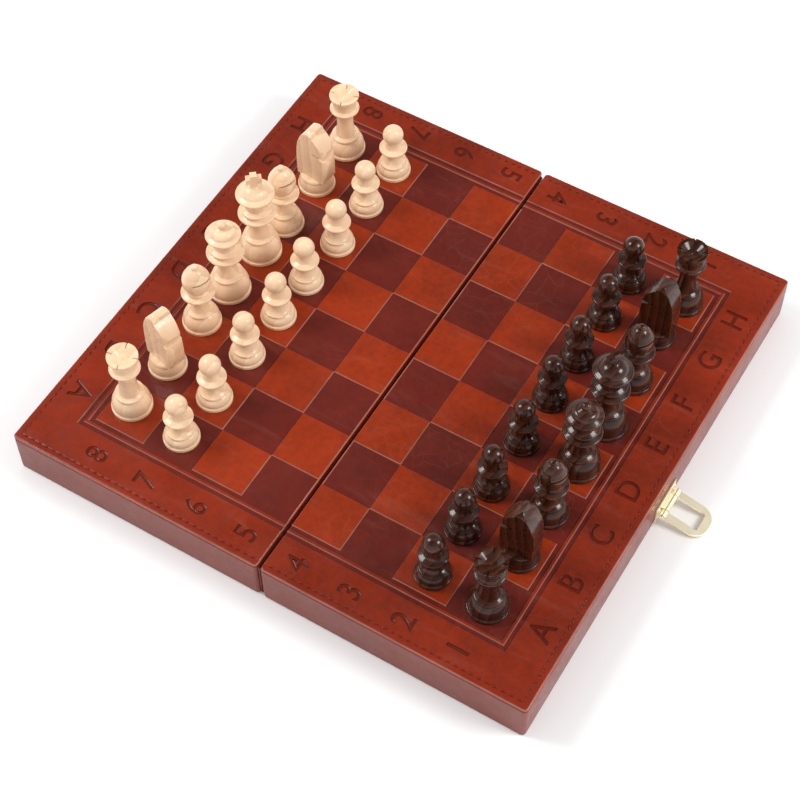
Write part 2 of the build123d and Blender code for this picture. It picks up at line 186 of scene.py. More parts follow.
class StageSettings(bpy.types.PropertyGroup):
    """Camera, lamps and floor"""

    lens: FloatProperty(
        name="Lens", description="Focal length of the camera in millimetres",
        default=85.9965, min=10, max=300)
    floor_drop: FloatProperty(
        name="Floor drop", description="How far the floor sinks when the board folds under itself",
        default=0.112, unit="LENGTH")
    floor_reach: FloatProperty(
        name="Floor reach", description="Distance of the floor's edges from the middle",
        default=1.6, unit="LENGTH")
    lamp_power: FloatProperty(
        name="Lamp power", description="Power of each lamp in watts",
        default=13.0, min=0, max=500)


# Shader groups

def socket(tree, name, way, kind, default=None):
    made = tree.interface.new_socket(name=name, in_out=way, socket_type=kind)
    if default is not None:
        made.default_value = default
    return made


def node(tree, kind, place=(0, 0), **values):
    made = tree.nodes.new(kind)
    made.location = place
    for key, value in values.items():
        setattr(made, key, value)
    return made


def noise(tree, vector, scale, detail, roughness=0.55, distortion=0.0):
    made = node(tree, "ShaderNodeTexNoise")
    made.inputs["Scale"].default_value = scale
    made.inputs["Detail"].default_value = detail
    made.inputs["Roughness"].default_value = roughness
    made.inputs["Distortion"].default_value = distortion
    tree.links.new(vector, made.inputs["Vector"])
    return made.outputs["Fac"]


def remap(tree, value, low, high, to_low=0.0, to_high=1.0):
    made = node(tree, "ShaderNodeMapRange")
    made.inputs["From Min"].default_value = low
    made.inputs["From Max"].default_value = high
    made.inputs["To Min"].default_value = to_low
    made.inputs["To Max"].default_value = to_high
    tree.links.new(value, made.inputs["Value"])
    return made.outputs["Result"]


def maths(tree, operation, a, b):
    made = node(tree, "ShaderNodeMath", operation=operation)
    for index, value in enumerate((a, b)):
        if isinstance(value, (int, float)):
            made.inputs[index].default_value = value
        else:
            tree.links.new(value, made.inputs[index])
    return made.outputs[0]


def mix(tree, factor, a, b, blend_type="MIX"):
    made = node(tree, "ShaderNodeMix", data_type="RGBA", blend_type=blend_type)
    for index, value in ((0, factor), (6, a), (7, b)):
        if isinstance(value, bpy.types.NodeSocket):
            tree.links.new(value, made.inputs[index])
        else:
            made.inputs[index].default_value = value
    return made.outputs[2]


def stretched(tree, vector, scale, turn=(0, 0, 0)):
    made = node(tree, "ShaderNodeMapping")
    made.inputs["Scale"].default_value = scale
    made.inputs["Rotation"].default_value = turn
    tree.links.new(vector, made.inputs["Vector"])
    return made.outputs["Vector"]


def new_group(name):
    tree = bpy.data.node_groups.new(name, "ShaderNodeTree")
    return tree, node(tree, "NodeGroupInput", (-900, 0)), node(tree, "NodeGroupOutput", (900, 0))


def leather_group():
    """Smooth pressed leather: cloudy dye, fine pores, creases, and paler scuffed edges that also carry a
    painted highlight.
    """
    tree, enter, leave = new_group("leather_finish")
    socket(tree, "Colour", "INPUT", "NodeSocketColor", (0.3, 0.04, 0.01, 1))
    socket(tree, "Deep colour", "INPUT", "NodeSocketColor", (0.15, 0.02, 0.01, 1))
    socket(tree, "Worn colour", "INPUT", "NodeSocketColor", (0.6, 0.2, 0.1, 1))
    socket(tree, "Clouding", "INPUT", "NodeSocketFloat", 0.5)
    socket(tree, "Wear", "INPUT", "NodeSocketFloat", 0.0)
    socket(tree, "Vector", "INPUT", "NodeSocketVector")
    socket(tree, "Colour", "OUTPUT", "NodeSocketColor")
    socket(tree, "Roughness", "OUTPUT", "NodeSocketFloat")
    socket(tree, "Height", "OUTPUT", "NodeSocketFloat")
    vector = enter.outputs["Vector"]
    cloud = remap(tree, noise(tree, vector, 16, 7, 0.62), 0.34, 0.68)
    speck = remap(tree, noise(tree, vector, 260, 4, 0.7), 0.42, 0.72)
    streak = noise(tree, stretched(tree, vector, (14, 60, 30), (0, 0, 0.6)), 1.0, 6, 0.65, 1.4)
    creases = node(tree, "ShaderNodeTexVoronoi", feature="DISTANCE_TO_EDGE")
    creases.inputs["Scale"].default_value = 75
    creases.inputs["Randomness"].default_value = 1.0
    bend = mix(tree, 0.035, vector, noise_colour(tree, vector, 22))
    tree.links.new(bend, creases.inputs["Vector"])
    crease = remap(tree, creases.outputs["Distance"], 0.0, 0.035, 1.0, 0.0)
    patch = remap(tree, noise(tree, vector, 11, 3), 0.52, 0.66)
    crease = maths(tree, "MULTIPLY", crease, patch)
    tone = maths(tree, "ADD", maths(tree, "MULTIPLY", cloud, 0.8), maths(tree, "MULTIPLY", speck, 0.5))
    factor = maths(tree, "MULTIPLY", tone, enter.outputs["Clouding"])
    colour = mix(tree, factor, enter.outputs["Colour"], enter.outputs["Deep colour"])
    pale = maths(tree, "MULTIPLY", remap(tree, streak, 0.55, 0.75), 0.05)
    colour = mix(tree, pale, colour, enter.outputs["Worn colour"])
    colour = mix(tree, maths(tree, "MULTIPLY", crease, 0.03), colour, enter.outputs["Worn colour"])
    # Paler edges: scuffing together with a painted highlight, brought in by the per-point attribute.
    patchy = remap(tree, noise(tree, vector, 55, 4), 0.2, 0.7, 0.35, 1.0)
    rub_and_highlight = maths(tree, "MULTIPLY", enter.outputs["Wear"], patchy)
    colour = mix(tree, rub_and_highlight, colour, enter.outputs["Worn colour"])
    tree.links.new(colour, leave.inputs["Colour"])
    rough = maths(tree, "ADD", remap(tree, noise(tree, vector, 40, 5), 0.3, 0.7, 0.26, 0.38),
                  maths(tree, "MULTIPLY", speck, 0.08))
    tree.links.new(rough, leave.inputs["Roughness"])
    pores = noise(tree, vector, 950, 3, 0.6)
    soft = noise(tree, vector, 130, 4, 0.55)
    height = maths(tree, "ADD", maths(tree, "MULTIPLY", pores, 0.35), maths(tree, "MULTIPLY", soft, 0.9))
    height = maths(tree, "SUBTRACT", height, maths(tree, "MULTIPLY", crease, 0.5))
    tree.links.new(height, leave.inputs["Height"])
    return tree


def noise_colour(tree, vector, scale):
    made = node(tree, "ShaderNodeTexNoise")
    made.inputs["Scale"].default_value = scale
    made.inputs["Detail"].default_value = 3
    tree.links.new(vector, made.inputs["Vector"])
    return made.outputs["Color"]


def wood_group():
    """Lacquered turned wood: growth rings cut through by the turning, pores along the grain."""
    tree, enter, leave = new_group("turned_wood")
    socket(tree, "Ground", "INPUT", "NodeSocketColor", (0.8, 0.6, 0.4, 1))
    socket(tree, "Ring", "INPUT", "NodeSocketColor", (0.6, 0.4, 0.2, 1))
    socket(tree, "Pore", "INPUT", "NodeSocketColor", (0.4, 0.2, 0.1, 1))
    socket(tree, "Ring strength", "INPUT", "NodeSocketFloat", 0.5)
    socket(tree, "Ring scale", "INPUT", "NodeSocketFloat", 60.0)
    socket(tree, "Pore strength", "INPUT", "NodeSocketFloat", 0.3)
    socket(tree, "Vector", "INPUT", "NodeSocketVector")
    socket(tree, "Colour", "OUTPUT", "NodeSocketColor")
    socket(tree, "Roughness", "OUTPUT", "NodeSocketFloat")
    socket(tree, "Height", "OUTPUT", "NodeSocketFloat")
    vector = enter.outputs["Vector"]
    tilted = stretched(tree, vector, (1.0, 1.0, 0.22), (0.20, 0.12, 0.5))
    rings = node(tree, "ShaderNodeTexWave", wave_type="BANDS", bands_direction="X", wave_profile="SAW")
    rings.inputs["Distortion"].default_value = 5.0
    rings.inputs["Detail"].default_value = 3.0
    rings.inputs["Detail Scale"].default_value = 1.2
    tree.links.new(tilted, rings.inputs["Vector"])
    tree.links.new(enter.outputs["Ring scale"], rings.inputs["Scale"])
    band = remap(tree, rings.outputs["Fac"], 0.15, 0.95)
    wide = remap(tree, noise(tree, tilted, 45, 4), 0.35, 0.7)
    factor = maths(tree, "MULTIPLY", maths(tree, "MULTIPLY", band, maths(tree, "ADD", wide, 0.35)),
                   enter.outputs["Ring strength"])
    colour = mix(tree, factor, enter.outputs["Ground"], enter.outputs["Ring"])
    pores = noise(tree, stretched(tree, vector, (1.0, 1.0, 0.07)), 1500, 3, 0.7)
    pore = remap(tree, pores, 0.56, 0.74)
    darkened = maths(tree, "MULTIPLY", pore, enter.outputs["Pore strength"])
    colour = mix(tree, darkened, colour, enter.outputs["Pore"])
    tree.links.new(colour, leave.inputs["Colour"])
    rough = remap(tree, noise(tree, vector, 90, 4), 0.3, 0.7, 0.20, 0.34)
    tree.links.new(rough, leave.inputs["Roughness"])
    height = maths(tree, "SUBTRACT", maths(tree, "MULTIPLY", noise(tree, vector, 260, 3), 0.5),
                   maths(tree, "MULTIPLY", pore, 0.35))
    tree.links.new(height, leave.inputs["Height"])
    return tree


def shared_group(name, maker):
    found = bpy.data.node_groups.get(name)
    return found if found else maker()


def scaled(colour, share):
    return tuple(channel * share for channel in colour)


def rgba(colour, share=1.0):
    return (*(min(1.0, channel * share) for channel in colour), 1.0)


def new_material(name):
    made = bpy.data.materials.new(name)
    made.use_nodes = True
    made.node_tree.nodes.clear()
    tree = made.node_tree
    output = node(tree, "ShaderNodeOutputMaterial", (700, 0))
    skin = node(tree, "ShaderNodeBsdfPrincipled", (400, 0))
    tree.links.new(skin.outputs["BSDF"], output.inputs["Surface"])
    return made, tree, skin


def finish_with(tree, skin, group, bump, distance):
    """Joins a finish group's outputs to the shader through a bump node."""
    lift = node(tree, "ShaderNodeBump", (200, -300))
    lift.inputs["Strength"].default_value = bump
    lift.inputs["Distance"].default_value = distance
    tree.links.new(group.outputs["Height"], lift.inputs["Height"])
    tree.links.new(lift.outputs["Normal"], skin.inputs["Normal"])
    tree.links.new(group.outputs["Colour"], skin.inputs["Base Color"])
    tree.links.new(group.outputs["Roughness"], skin.inputs["Roughness"])


def leather_material(name, colour, deep, worn_and_highlight, clouding=0.5, worn_and_lit_edges=False, shine=0.28):
    found = bpy.data.materials.get(name)
    if found:
        return found
    made, tree, skin = new_material(name)
    group = node(tree, "ShaderNodeGroup", (-100, 0), node_tree=shared_group("leather_finish", leather_group))
    group.inputs["Colour"].default_value = rgba(colour)
    group.inputs["Deep colour"].default_value = rgba(deep)
    group.inputs["Worn colour"].default_value = rgba(worn_and_highlight)
    group.inputs["Clouding"].default_value = clouding
    place = node(tree, "ShaderNodeTexCoord", (-400, 0))
    tree.links.new(place.outputs["Object"], group.inputs["Vector"])
    # Edges paler from scuffing and from a painted highlight on the sides that face +X and -Y.
    if worn_and_lit_edges:
        wear = node(tree, "ShaderNodeAttribute", (-400, -200), attribute_name="wear")
        tree.links.new(wear.outputs["Fac"], group.inputs["Wear"])
    finish_with(tree, skin, group, 0.34, 0.0004)
    skin.inputs["Specular IOR Level"].default_value = shine
    skin.inputs["Coat Weight"].default_value = 0.12
    skin.inputs["Coat Roughness"].default_value = 0.14
    return made


def wood_material(name, ground, ring, pore, strength, scale, pores, coat):
    found = bpy.data.materials.get(name)
    if found:
        return found
    made, tree, skin = new_material(name)
    group = node(tree, "ShaderNodeGroup", (-100, 0), node_tree=shared_group("turned_wood", wood_group))
    group.inputs["Ground"].default_value = rgba(ground)
    group.inputs["Ring"].default_value = rgba(ring)
    group.inputs["Pore"].default_value = rgba(pore)
    group.inputs["Ring strength"].default_value = strength
    group.inputs["Ring scale"].default_value = scale
    group.inputs["Pore strength"].default_value = pores
    place = node(tree, "ShaderNodeTexCoord", (-400, 0))
    tree.links.new(place.outputs["Object"], group.inputs["Vector"])
    finish_with(tree, skin, group, 0.12, 0.0002)
    skin.inputs["Coat Weight"].default_value = coat
    skin.inputs["Coat Roughness"].default_value = 0.05
    skin.inputs["Specular IOR Level"].default_value = 0.2
    return made


def brass_material(colour):
    made, tree, skin = new_material("plated_brass")
    place = node(tree, "ShaderNodeTexCoord", (-700, 0))
    blotch = noise(tree, place.outputs["Object"], 160, 5, 0.6)
    tree.links.new(mix(tree, remap(tree, blotch, 0.5, 0.8, 0.0, 0.3), rgba(colour), rgba(colour, 0.8)),
                   skin.inputs["Base Color"])
    tree.links.new(remap(tree, blotch, 0.3, 0.7, 0.3, 0.38), skin.inputs["Roughness"])
    skin.inputs["Metallic"].default_value = 0.8
    return made


def felt_material(colour):
    made, tree, skin = new_material("tray_felt")
    place = node(tree, "ShaderNodeTexCoord", (-700, 0))
    fibres = noise(tree, place.outputs["Object"], 1400, 5, 0.75, 1.5)
    pile = noise(tree, place.outputs["Object"], 60, 4)
    tone = maths(tree, "ADD", remap(tree, fibres, 0.35, 0.7, 0.0, 0.7), remap(tree, pile, 0.4, 0.7, 0.0, 0.3))
    tree.links.new(mix(tree, tone, rgba(colour), rgba(colour, 1.7)), skin.inputs["Base Color"])
    lift = node(tree, "ShaderNodeBump", (200, -300))
    lift.inputs["Strength"].default_value = 0.6
    lift.inputs["Distance"].default_value = 0.0004
    tree.links.new(fibres, lift.inputs["Height"])
    tree.links.new(lift.outputs["Normal"], skin.inputs["Normal"])
    skin.inputs["Roughness"].default_value = 0.95
    skin.inputs["Sheen Weight"].default_value = 0.3
    return made


def border_leather(colours):
    # The pale third colour serves for scuffing and for the painted highlight on the rolled edges.
    return leather_material("border_leather", colours.border, scaled(colours.border, 0.55),
                            (0.66, 0.34, 0.26), 0.9, True)


def case_leather(colours):
    return leather_material("case_leather", scaled(colours.border, 0.8),
                            scaled(colours.border, 0.5), (0.55, 0.16, 0.09), 0.5, shine=0.4)


def set_material(obj, *materials):
    if len(obj.data.materials):
        obj.data.materials.clear()
    for made in materials:
        obj.data.materials.append(made)


# Mesh helpers

def new_piece(name, points, faces):
    mesh = bpy.data.meshes.new(name)
    mesh.from_pydata([tuple(p) for p in points], [], faces)
    mesh.update()
    obj = bpy.data.objects.new(name, mesh)
    bpy.context.scene.collection.objects.link(obj)
    return obj


def apply_modifiers(obj):
    """Swaps the mesh for the one its modifiers make."""
    graph = bpy.context.evaluated_depsgraph_get()
    made = bpy.data.meshes.new_from_object(obj.evaluated_get(graph))
    obj.modifiers.clear()
    obj.data = made


def smooth(obj, degrees=32):
    """Smooth shading with sharp edges kept, weighted by face size."""
    mesh = obj.data
    mesh.shade_smooth()
    mesh.set_sharp_from_angle(angle=math.radians(degrees))
    weigh = obj.modifiers.new("weigh", "WEIGHTED_NORMAL")
    weigh.keep_sharp = True
    weigh.weight = 80
    apply_modifiers(obj)


def softened(name, cad_node, width, degrees=35):
    """A copy of a CAD node with its hard edges rounded."""
    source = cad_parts[cad_node]
    mesh = source.data.copy()
    obj = bpy.data.objects.new(name, mesh)
    bpy.context.scene.collection.objects.link(obj)
    shape = bmesh.new()
    shape.from_mesh(mesh)
    bmesh.ops.remove_doubles(shape, verts=shape.verts, dist=1e-6)
    bmesh.ops.dissolve_limit(shape, angle_limit=math.radians(0.6), verts=shape.verts, edges=shape.edges)
    shape.to_mesh(mesh)
    shape.free()
    if "custom_normal" in mesh.attributes:
        mesh.attributes.remove(mesh.attributes["custom_normal"])
    round_off = obj.modifiers.new("round", "BEVEL")
    round_off.width = width
    round_off.segments = 3
    round_off.limit_method = "ANGLE"
    round_off.angle_limit = math.radians(degrees)
    round_off.use_clamp_overlap = True
    apply_modifiers(obj)
    smooth(obj, 40)
    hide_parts(cad_node)
    return obj


def lines_between(marks, low, high, step):
    """Grid lines at every mark and no further apart than the step."""
    marks = sorted(m for m in set(round(m, 4) for m in marks) if low <= m <= high)
    lines = [marks[0]]
    for mark in marks[1:]:
        gap = mark - lines[-1]
        if gap < 0.02:
            continue
        count = max(1, math.ceil(gap / step))
        start = lines[-1]
        lines.extend(start + gap * (i + 1) / count for i in range(count))
    return np.array(lines)


# The pressed playing surface

def dark_squares(half):
    """The pressed squares as (u0, u1, v0, v1), u out from the hinge edge, v from the pattern's middle."""
    squares = []
    for column, rank in enumerate(RANKS[half]):
        u0 = max(COLUMN_LINES[column], 1.0)
        u1 = COLUMN_LINES[column + 1] if column < 3 else INNER_GROOVE[0][1]
        for row in range(8):
            if (row + 1 + rank) % 2 == 0:
                v0 = (row - 4) * ROW_PITCH if row else -INNER_GROOVE[1][1]
                v1 = (row - 3) * ROW_PITCH if row < 7 else INNER_GROOVE[1][1]
                squares.append((u0, u1, v0, v1))
    return squares


def pressed(half, u, v):
    """How far inside a pressed area each point lies, in millimetres."""
    inside = np.full(u.shape, -9.0)
    for u0, u1, v0, v1 in dark_squares(half):
        here = np.minimum(np.minimum(u - u0, u1 - u), np.minimum(v - v0, v1 - v))
        inside = np.maximum(inside, here)
    for (near_u, far_u), (near_v, far_v) in (INNER_GROOVE, OUTER_GROOVE):
        outer = np.minimum(far_u - u, far_v - np.abs(v))
        inner = np.minimum(near_u - u, near_v - np.abs(v))
        inside = np.maximum(inside, np.minimum(outer, -inner))
    return inside


def surface_lines(half, sizes, width, depth):
    """Grid lines along u and y that hold every pressed edge."""
    roll = sizes.press_roll / MM
    near = (-roll * 2, -roll, -roll * 0.45, 0.0, roll * 0.45, roll, roll * 2)
    edge = (0.0, 0.08, 0.25, 0.5, 0.85, 1.3, 1.9, 2.5)
    seam = sizes.stitch_inset / MM
    seam_marks = (seam - 0.8, seam - 0.4, seam, seam + 0.4, seam + 0.8)
    u_marks = list(edge) + [width - e for e in edge + seam_marks]
    for line in (1.0, *COLUMN_LINES[1:], *INNER_GROOVE[0], *OUTER_GROOVE[0]):
        u_marks += [line + n for n in near]
    shift = PATTERN_SHIFT[half]
    y_marks = [way * (depth / 2 - e) for e in edge + seam_marks for way in (-1, 1)]
    rows = [(row - 4) * ROW_PITCH for row in range(1, 8)]
    rows += [way * line for way in (-1, 1) for line in (*INNER_GROOVE[1], *OUTER_GROOVE[1])]
    for line in rows:
        y_marks += [shift + line + n for n in near]
    return lines_between(u_marks, 0.0, width, 6.0), lines_between(y_marks, -depth / 2, depth / 2, 6.0)


def round_corner(u, y, width, depth, radius):
    """Moves the points of the square corners onto round ones."""
    cu = np.clip(u, radius, width - radius)
    cy = np.clip(y, -depth / 2 + radius, depth / 2 - radius)
    du, dy = u - cu, y - cy
    reach = np.maximum(np.abs(du), np.abs(dy))
    length = np.hypot(du, dy)
    share = np.where(length > 1e-9, reach / np.maximum(length, 1e-9), 1.0)
    return cu + du * share, cy + dy * share


def lit_side(field, us, ys, side):
    """Painted highlight and scuffing of an edge by the way it faces: a small even share of scuffing on every
    edge, and a painted highlight on edges that fall towards +X and -Y.
    """
    along_u, along_y = np.gradient(field, us, ys)
    return 0.06 + 0.5 * np.clip(side * along_u, 0, 1) + 0.5 * np.clip(-along_y, 0, 1)


def leather_surface(half, sizes):
    """The leather sheet of one half, pressed, rolled at its edges and closed underneath."""
    low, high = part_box(f"{half}_top_leather")
    width = (high.x - low.x) / MM
    depth = (high.y - low.y) / MM
    side = SIDE_OF[half]
    us, ys = surface_lines(half, sizes, width, depth)
    u, y = np.meshgrid(us, ys, indexing="ij")
    inside = pressed(half, u, y - PATTERN_SHIFT[half])
    roll = sizes.press_roll / MM
    share = np.clip((inside + roll) / (2 * roll), 0, 1)
    share = share * share * (3 - 2 * share)
    outer = np.minimum(width - u, depth / 2 - np.abs(y))
    edge = np.minimum(outer, u)
    radius = sizes.edge_roll / MM
    fall = np.clip(radius - edge, 0, radius)
    drop = radius - np.sqrt(np.maximum(radius ** 2 - fall ** 2, 0))
    seam = np.exp(-(((outer - sizes.stitch_inset / MM) / 0.45) ** 2)) * 0.22
    height = high.z / MM - drop - share * sizes.press_depth / MM - seam
    ru, ry = round_corner(u, y, width, depth, sizes.corner / MM)
    start = low.x / MM if side > 0 else high.x / MM
    points = np.stack([start + side * ru, ry, height], axis=-1).reshape(-1, 3) * MM
    n_u, n_y = len(us), len(ys)
    # Edge scuffing plus a painted highlight along the pressed edges and the outer rim, strongest on the sides
    # that face +X and -Y.
    wear = np.exp(-(((inside + roll * 0.4) / 0.2) ** 2)) * lit_side(inside, us, ys, side)
    rim_wear = np.exp(-(((edge - 0.3) / 0.25) ** 2)) * lit_side(-edge, us, ys, side)
    wear = np.maximum(wear, rim_wear).reshape(-1)
    middle_u = (us[:-1] + us[1:]) / 2
    middle_v = (ys[:-1] + ys[1:]) / 2 - PATTERN_SHIFT[half]
    mu, mv = np.meshgrid(middle_u, middle_v, indexing="ij")
    kind = np.where(pressed(half, mu, mv) > -0.02, DARK_SQUARE, BORDER)
    on_board = (mu < INNER_GROOVE[0][0]) & (np.abs(mv) < INNER_GROOVE[1][0])
    kind = np.where(on_board & (kind == BORDER), LIGHT_SQUARE, kind)
    faces, kinds = [], []
    for i in range(n_u - 1):
        for j in range(n_y - 1):
            quad = (i * n_y + j, (i + 1) * n_y + j, (i + 1) * n_y + j + 1, i * n_y + j + 1)
            faces.append(quad if side > 0 else quad[::-1])
            kinds.append(int(kind[i, j]))
    return close_under(f"{half}_playing_leather", points, faces, kinds, wear, n_u, n_y, low.z, side)


def close_under(name, points, faces, kinds, wear, n_u, n_y, bottom, side):
    """Adds the edge and the underside to a leather sheet."""
    rim = [i * n_y for i in range(n_u)]
    rim += [(n_u - 1) * n_y + j for j in range(1, n_y)]
    rim += [i * n_y + n_y - 1 for i in range(n_u - 2, -1, -1)]
    rim += [j for j in range(n_y - 2, 0, -1)]
    if side < 0:
        rim = rim[::-1]
    loop = points[rim]
    along = np.roll(loop, -1, axis=0) - np.roll(loop, 1, axis=0)
    inward = np.stack([-along[:, 1], along[:, 0], np.zeros(len(rim))], axis=-1)
    inward /= np.linalg.norm(inward, axis=1, keepdims=True)
    rings = [list(rim)]
    everything = [points]
    total = len(points)
    for push, height in ((0.0, bottom + 0.5 * MM), (0.15 * MM, bottom + 0.15 * MM), (0.5 * MM, bottom)):
        ring = loop + inward * push
        ring[:, 2] = height
        everything.append(ring)
        rings.append(list(range(total, total + len(rim))))
        total += len(rim)
    for upper, lower in zip(rings, rings[1:]):
        for k in range(len(rim)):
            m = (k + 1) % len(rim)
            faces.append((upper[m], upper[k], lower[k], lower[m]))
            kinds.append(BORDER)
    faces.append(tuple(reversed(rings[-1])))
    kinds.append(BORDER)
    obj = new_piece(name, np.concatenate(everything), faces)
    obj.data.polygons.foreach_set("material_index", kinds)
    # Stores the edge scuffing and the painted highlight per point, for the leather materials.
    mark = obj.data.attributes.new("wear", "FLOAT", "POINT")
    mark.data.foreach_set("value", np.concatenate([wear, np.zeros(total - len(wear))]).astype(np.float32))
    return obj


def label_cutter(half, sizes):
    """The coordinates of one half as one solid that presses into the leather."""
    low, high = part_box(f"{half}_top_leather")
    side = SIDE_OF[half]
    hinge = (low.x if side > 0 else high.x) / MM
    shift = PATTERN_SHIFT[half]
    signs = []
    for place, rank in zip(NUMBER_PLACES, RANKS[half]):
        signs.append((str(rank), hinge + side * place, shift - NUMBER_LINE, 90))
        signs.append((str(rank), hinge + side * place, shift + NUMBER_LINE, -90))
    for index, letter in enumerate("ABCDEFGH"):
        y = LETTER_MIDDLE + (index - 3.5) * LETTER_PITCH
        signs.append((letter, hinge + side * LETTER_LINE, y, 90 if side > 0 else -90))
    shape = bmesh.new()
    for text, x, y, turn in signs:
        add_sign(shape, text, (x * MM, y * MM, high.z), turn, sizes)
    mesh = bpy.data.meshes.new(f"{half}_labels")
    shape.to_mesh(mesh)
    shape.free()
    obj = bpy.data.objects.new(f"{half}_labels", mesh)
    bpy.context.scene.collection.objects.link(obj)
    return obj


def add_sign(shape, text, place, turn, sizes):
    """Adds one letter or number, its middle at the place and its top turned by an angle."""
    curve = bpy.data.curves.new("sign", "FONT")
    curve.body = text
    curve.size = sizes.label_height / 0.71
    curve.extrude = 0.05 * MM
    curve.bevel_depth = sizes.label_depth
    curve.bevel_resolution = 1
    curve.offset = -0.45 * MM
    curve.resolution_u = 5
    obj = bpy.data.objects.new("sign", curve)
    bpy.context.scene.collection.objects.link(obj)
    graph = bpy.context.evaluated_depsgraph_get()
    mesh = bpy.data.meshes.new_from_object(obj.evaluated_get(graph))
    points = np.array([v.co for v in mesh.vertices])
    middle = (points.min(axis=0) + points.max(axis=0)) / 2
    spin = Euler((0, 0, math.radians(turn))).to_matrix()
    for vertex in mesh.vertices:
        flat = Vector(((vertex.co.x - middle[0]) * 0.92, vertex.co.y - middle[1], vertex.co.z))
        vertex.co = spin @ flat + Vector(place)
    shape.from_mesh(mesh)
    bpy.data.objects.remove(obj)
    bpy.data.curves.remove(curve)
    bpy.data.meshes.remove(mesh)


def press_labels(sheet, cutter):
    """Cuts the coordinates into the leather and leaves their own material in the cuts: a darker leather that
    paints shade into the pressed letters.
    """
    cut = sheet.modifiers.new("labels", "BOOLEAN")
    cut.object = cutter
    cut.operation = "DIFFERENCE"
    cut.solver = "EXACT"
    cut.use_self = True
    apply_modifiers(sheet)
    bpy.data.objects.remove(cutter)


# Stitching

def seam_path(half, sizes):
    """The seam's corner points round three sides, then one (place, direction) for each stitch."""
    low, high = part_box(f"{half}_top_leather")
    side = SIDE_OF[half]
    hinge, far = (low.x, high.x) if side > 0 else (high.x, low.x)
    inset = sizes.stitch_inset
    corners = [
        Vector((hinge + side * inset * 0.6, low.y + inset, 0)),
        Vector((far - side * inset, low.y + inset, 0)),
        Vector((far - side * inset, high.y - inset, 0)),
        Vector((hinge + side * inset * 0.6, high.y - inset, 0)),
    ]
    stitches = []
    for start, end in zip(corners, corners[1:]):
        span = (end - start).length
        count = round(span / sizes.stitch_pitch)
        way = (end - start).normalized()
        for i in range(count):
            stitches.append((start + way * span * (i + 0.5) / count, way))
    return stitches, high.z


def stitching(half, sizes, around=8, along=9):
    """All stitches of one half: short slanted thread humps that dive into their holes."""
    stitches, top = seam_path(half, sizes)
    rng = np.random.default_rng(41 if half == "left" else 42)
    points, faces = [], []
    for place, way in stitches:
        across = Vector((-way.y, way.x, 0))
        slant = math.radians(11 + rng.normal(0, 2.0))
        forward = way * math.cos(slant) + across * math.sin(slant)
        sideways = Vector((-forward.y, forward.x, 0))
        length = sizes.stitch_length * (1 + rng.normal(0, 0.03))
        first = len(points)
        for i in range(along):
            share = -1 + 2 * i / (along - 1)
            lift = 0.10 * MM + 0.22 * MM * (1 - share ** 2) - 0.75 * MM * abs(share) ** 8
            middle = place + forward * share * length / 2 + Vector((0, 0, top - 0.2 * MM + lift))
            radius = sizes.thread * (1.0 - 0.35 * abs(share) ** 4)
            for k in range(around):
                angle = 2 * math.pi * k / around
                points.append(middle + sideways * radius * math.cos(angle) * 1.15
                              + Vector((0, 0, radius * math.sin(angle) * 0.85)))
        for i in range(along - 1):
            for k in range(around):
                m = (k + 1) % around
                a, b = first + i * around, first + (i + 1) * around
                faces.append((a + k, a + m, b + m, b + k))
        faces.append(tuple(first + k for k in range(around - 1, -1, -1)))
        faces.append(tuple(first + (along - 1) * around + k for k in range(around)))
    obj = new_piece(f"{half}_stitching", points, faces)
    obj.data.shade_smooth()
    return obj


# Case sides

def rounded_loop(x0, x1, y0, y1, radius, per_corner, per_side):
    """Points round a rectangle with round corners, anticlockwise."""
    corners = ((x1 - radius, y0 + radius, -90), (x1 - radius, y1 - radius, 0),
               (x0 + radius, y1 - radius, 90), (x0 + radius, y0 + radius, 180))
    arcs = []
    for cx, cy, start in corners:
        arcs.append([(cx + radius * math.cos(math.radians(start + 90 * i / per_corner)),
                      cy + radius * math.sin(math.radians(start + 90 * i / per_corner)))
                     for i in range(per_corner + 1)])
    loop = []
    for arc, following in zip(arcs, arcs[1:] + arcs[:1]):
        loop += arc
        (xa, ya), (xb, yb) = arc[-1], following[0]
        loop += [(xa + (xb - xa) * i / per_side, ya + (yb - ya) * i / per_side) for i in range(1, per_side)]
    return loop


def case_side(half, sizes):
    """The leather round one half, rolled over the rim into the tray and under the top leather."""
    low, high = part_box(f"{half}_side_leather")
    profile = [
        (8.0, 8.0), (7.9, 7.7), (7.9, 1.0), (7.6, 0.4), (7.0, 0.08), (6.0, 0.0), (1.5, 0.0), (0.8, 0.08),
        (0.3, 0.35), (0.06, 0.8), (0.0, 1.3), (0.0, 10.0), (0.0, 20.0), (0.0, 29.6),
        (0.06, 30.3), (0.3, 30.8), (0.8, 31.05), (1.3, 31.08),
    ]
    rings = []
    points = []
    for inset, height in profile:
        reach = inset * MM
        radius = max(sizes.corner - reach, 0.3 * MM)
        loop = rounded_loop(low.x + reach, high.x - reach, low.y + reach, high.y - reach, radius,
                            sizes.corner_points, 12)
        rings.append(range(len(points), len(points) + len(loop)))
        points += [(x, y, low.z + height * MM) for x, y in loop]
    faces = []
    count = len(rings[0])
    for lower, upper in zip(rings, rings[1:]):
        for k in range(count):
            m = (k + 1) % count
            faces.append((lower[k], lower[m], upper[m], upper[k]))
    obj = new_piece(f"{half}_case_leather", points, faces)
    smooth(obj, 50)
    return obj


# Spine

